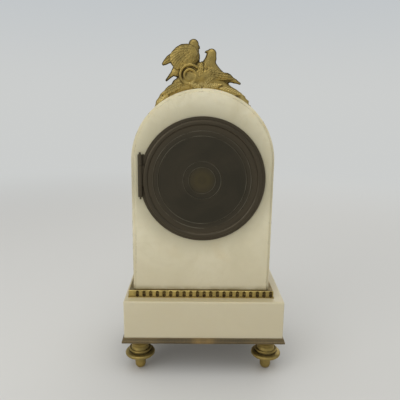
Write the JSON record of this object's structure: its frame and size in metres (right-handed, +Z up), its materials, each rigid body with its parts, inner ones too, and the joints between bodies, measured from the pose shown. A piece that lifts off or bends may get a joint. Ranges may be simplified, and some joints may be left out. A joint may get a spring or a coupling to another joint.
{
  "type": "arched mantel clock",
  "caption": "Arched alabaster mantel clock with gilt mounts, dove crest, hinged round rear door and a wheel-train movement with lever platform.",
  "frame": {"origin": "on the ground under the centre of the base moulding (the body and movement stand 2.2 mm to +X of it)", "axes": "+Z up; the dial faces -Y and the rear door faces +Y; +X is to the right seen from the dial side"},
  "size_m": [0.1254, 0.0852, 0.2577],
  "materials": {
    "alabaster": "polished cream alabaster with soft clouding",
    "gilt_brass": "fire-gilt brass with dark patina in the hollows",
    "aged_brass": "brass toned dark brown with age",
    "dull_iron": "dull iron hardware",
    "movement_brass": "satin movement brass",
    "wheel_brass": "polished wheel brass",
    "polished_steel": "polished hardened steel",
    "blued_steel": "heat-blued steel",
    "enamel": "fired white enamel",
    "glass": "thin domed glass"
  },
  "bodies": {
    "case": {"case_body": "alabaster", "plinth": "alabaster", "base_moulding": "aged_brass", "foot_frame": "gilt_brass", "foot_front_left": "gilt_brass", "foot_front_right": "gilt_brass", "foot_rear_left": "gilt_brass", "foot_rear_right": "gilt_brass", "foot_nuts": "dull_iron", "tie_rod": "dull_iron", "tie_rod_nuts": "dull_iron", "tie_rod_washers": "dull_iron", "crest": "gilt_brass", "crest_stud": "dull_iron", "crest_nut": "dull_iron", "rear_ring": "aged_brass", "front_ring": "gilt_brass", "dial": "enamel", "hinge_pins": "aged_brass", "strap_left": "gilt_brass", "strap_right": "gilt_brass", "strap_screws": "blued_steel", "back_plate": "movement_brass", "front_plate": "movement_brass", "pillars": "movement_brass", "taper_pins": "polished_steel", "movement_screws": "blued_steel", "ratchet_bridge": "movement_brass", "click_spring": "blued_steel", "platform_plate": "movement_brass", "escape_cock": "movement_brass", "balance_cock": "movement_brass", "hairspring": "blued_steel"},
    "centre_train": {"centre_wheel": "wheel_brass", "centre_arbor": "polished_steel"},
    "minute_hand_group": {"cannon_pinion": "polished_steel", "minute_hand": "blued_steel", "hand_collet": "movement_brass"},
    "minute_wheel_group": {"minute_wheel": "wheel_brass"},
    "hour_hand_group": {"hour_wheel": "wheel_brass", "hour_hand": "blued_steel"},
    "intermediate_train": {"intermediate_wheel": "wheel_brass", "intermediate_arbor": "polished_steel"},
    "going_barrel": {"barrel": "movement_brass", "barrel_cap": "movement_brass", "mainspring": "blued_steel"},
    "third_train": {"third_wheel": "wheel_brass", "third_arbor": "polished_steel"},
    "fourth_train": {"fourth_wheel": "wheel_brass", "fourth_arbor": "polished_steel"},
    "escape_train": {"escape_wheel": "wheel_brass"},
    "winding_arbor": {"barrel_arbor": "polished_steel", "ratchet_wheel": "polished_steel"},
    "click_pawl": {"click": "polished_steel"},
    "pallets": {"pallet_lever": "polished_steel"},
    "balance": {"balance_wheel": "wheel_brass"},
    "regulator_index": {"regulator": "polished_steel"},
    "door": {"rear_door": "aged_brass"},
    "glazed_bezel": {"front_bezel": "gilt_brass", "bezel_glass": "glass"}
  },
  "joints": [
    {"name": "centre_spin", "type": "hinge", "parent": "case", "child": "centre_train", "pos_m": [0.0022, -0.01, 0.1529], "axis": [0, 1, 0], "continuous": true},
    {"name": "minute_spin", "type": "hinge", "parent": "case", "child": "minute_hand_group", "pos_m": [0.0022, -0.03, 0.1529], "axis": [0, 1, 0], "continuous": true},
    {"name": "minute_wheel_spin", "type": "hinge", "parent": "case", "child": "minute_wheel_group", "pos_m": [0.007, -0.024, 0.16121], "axis": [0, 1, 0], "continuous": true},
    {"name": "hour_spin", "type": "hinge", "parent": "case", "child": "hour_hand_group", "pos_m": [0.0022, -0.028, 0.1529], "axis": [0, 1, 0], "continuous": true},
    {"name": "intermediate_spin", "type": "hinge", "parent": "case", "child": "intermediate_train", "pos_m": [0.01627, -0.01, 0.14736], "axis": [0, 1, 0], "continuous": true},
    {"name": "barrel_spin", "type": "hinge", "parent": "case", "child": "going_barrel", "pos_m": [0.0022, -0.01, 0.1343], "axis": [0, 1, 0], "continuous": true},
    {"name": "third_spin", "type": "hinge", "parent": "case", "child": "third_train", "pos_m": [-0.00918, -0.01, 0.16245], "axis": [0, 1, 0], "continuous": true},
    {"name": "fourth_spin", "type": "hinge", "parent": "case", "child": "fourth_train", "pos_m": [0.0022, -0.01, 0.1682], "axis": [0, 1, 0], "continuous": true},
    {"name": "escape_spin", "type": "hinge", "parent": "case", "child": "escape_train", "pos_m": [0.01161, 0, 0.17163], "axis": [0, 1, 0], "continuous": true},
    {"name": "winding_spin", "type": "hinge", "parent": "case", "child": "winding_arbor", "pos_m": [0.0022, -0.015, 0.1343], "axis": [0, 1, 0], "continuous": true},
    {"name": "click_pivot", "type": "hinge", "parent": "case", "child": "click_pawl", "pos_m": [0.0096, -0.023, 0.1261], "axis": [0, -1, 0], "range_deg": [0, 6]},
    {"name": "pallet_pivot", "type": "hinge", "parent": "case", "child": "pallets", "pos_m": [0.00697, 0.006, 0.17266], "axis": [0, 1, 0], "range_deg": [-4, 4]},
    {"name": "balance_swing", "type": "hinge", "parent": "case", "child": "balance", "pos_m": [-0.00187, 0.007, 0.17461], "axis": [0, 1, 0], "range_deg": [-220, 220]},
    {"name": "regulator_pivot", "type": "hinge", "parent": "case", "child": "regulator_index", "pos_m": [-0.00187, 0.011, 0.17461], "axis": [0, 1, 0], "range_deg": [-20, 20]},
    {"name": "rear_door_hinge", "type": "hinge", "parent": "case", "child": "door", "pos_m": [0.0477, 0.03295, 0.1529], "axis": [0, 0, -1], "range_deg": [0, 110]},
    {"name": "front_bezel_hinge", "type": "hinge", "parent": "case", "child": "glazed_bezel", "pos_m": [-0.045, -0.03295, 0.1529], "axis": [0, 0, -1], "range_deg": [0, 120]}
  ],
  "couplings": [
    {"joint": "minute_spin", "follows": "centre_spin", "ratio": 1},
    {"joint": "minute_wheel_spin", "follows": "centre_spin", "ratio": -0.33333},
    {"joint": "hour_spin", "follows": "centre_spin", "ratio": 0.083333},
    {"joint": "intermediate_spin", "follows": "centre_spin", "ratio": -0.16667},
    {"joint": "barrel_spin", "follows": "centre_spin", "ratio": 0.02381},
    {"joint": "third_spin", "follows": "centre_spin", "ratio": -8},
    {"joint": "fourth_spin", "follows": "centre_spin", "ratio": 60},
    {"joint": "escape_spin", "follows": "centre_spin", "ratio": -600}
  ]
}
